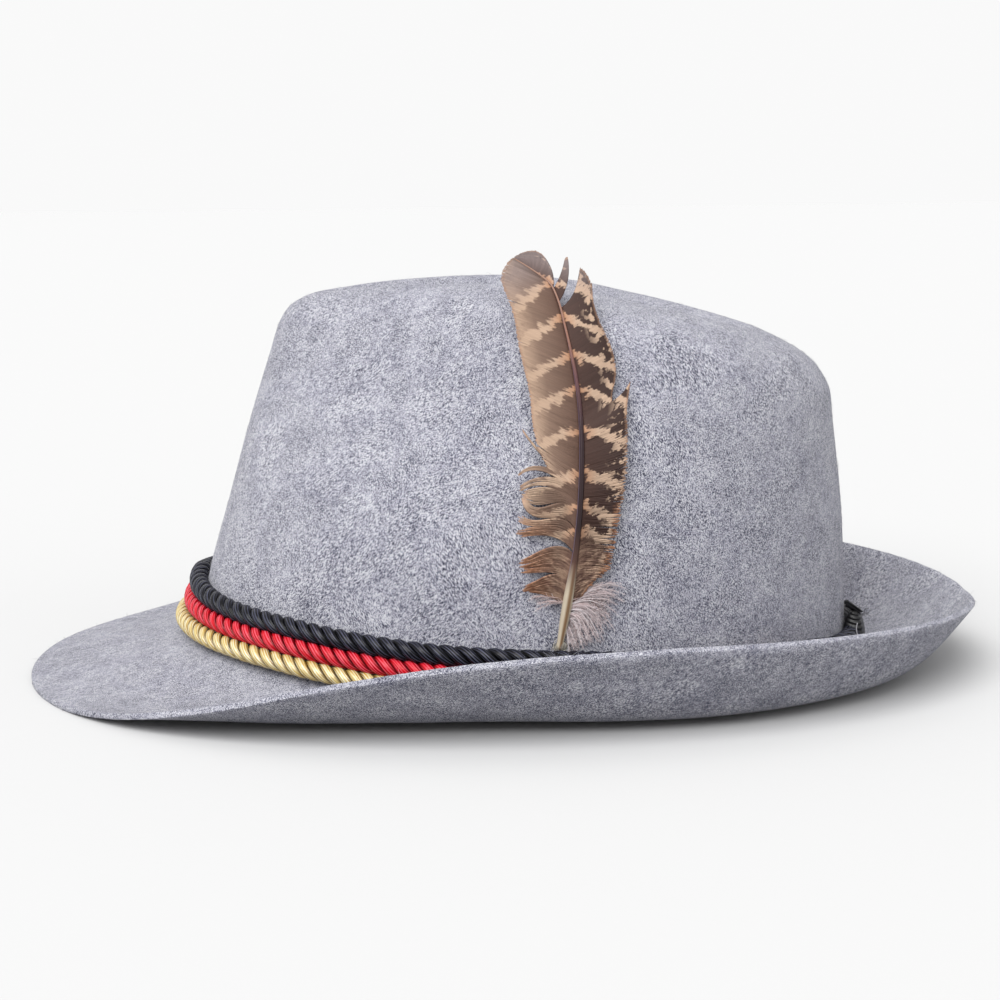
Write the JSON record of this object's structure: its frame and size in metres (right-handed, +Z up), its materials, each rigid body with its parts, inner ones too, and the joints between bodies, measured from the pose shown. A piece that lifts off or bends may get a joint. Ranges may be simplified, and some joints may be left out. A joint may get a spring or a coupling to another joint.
{
  "type": "tyrolean hat",
  "caption": "Soft felt tyrolean hat with a teardrop dent, pinched crown, brim down in front and curled up behind, trim cords round the crown and a barred feather at the side.",
  "frame": {"origin": "on the plane that the hat rests on, under the middle of the brim's outline", "axes": "+Z up, the front of the hat towards -X, the wearer's left side with the feather towards -Y"},
  "size_m": [0.3049, 0.2486, 0.1341],
  "materials": {
    "grey_felt": "light bluish grey marled wool felt, soft short fibres, raw cut edge",
    "gold_cord": "twisted satin cord of three strands, gold",
    "red_cord": "twisted satin cord of three strands, red",
    "black_cord": "twisted satin cord of three strands, black",
    "black_binding": "black cord wound round the ends of the trim cords",
    "feather": "dark brown and cream barred game-bird feather, horn-coloured quill, grey down"
  },
  "bodies": {
    "root": {"felt_body": "grey_felt", "cord_gold": "gold_cord", "cord_red": "red_cord", "cord_black": "black_cord", "cord_binding": "black_binding", "feather": "feather"}
  },
  "joints": []
}
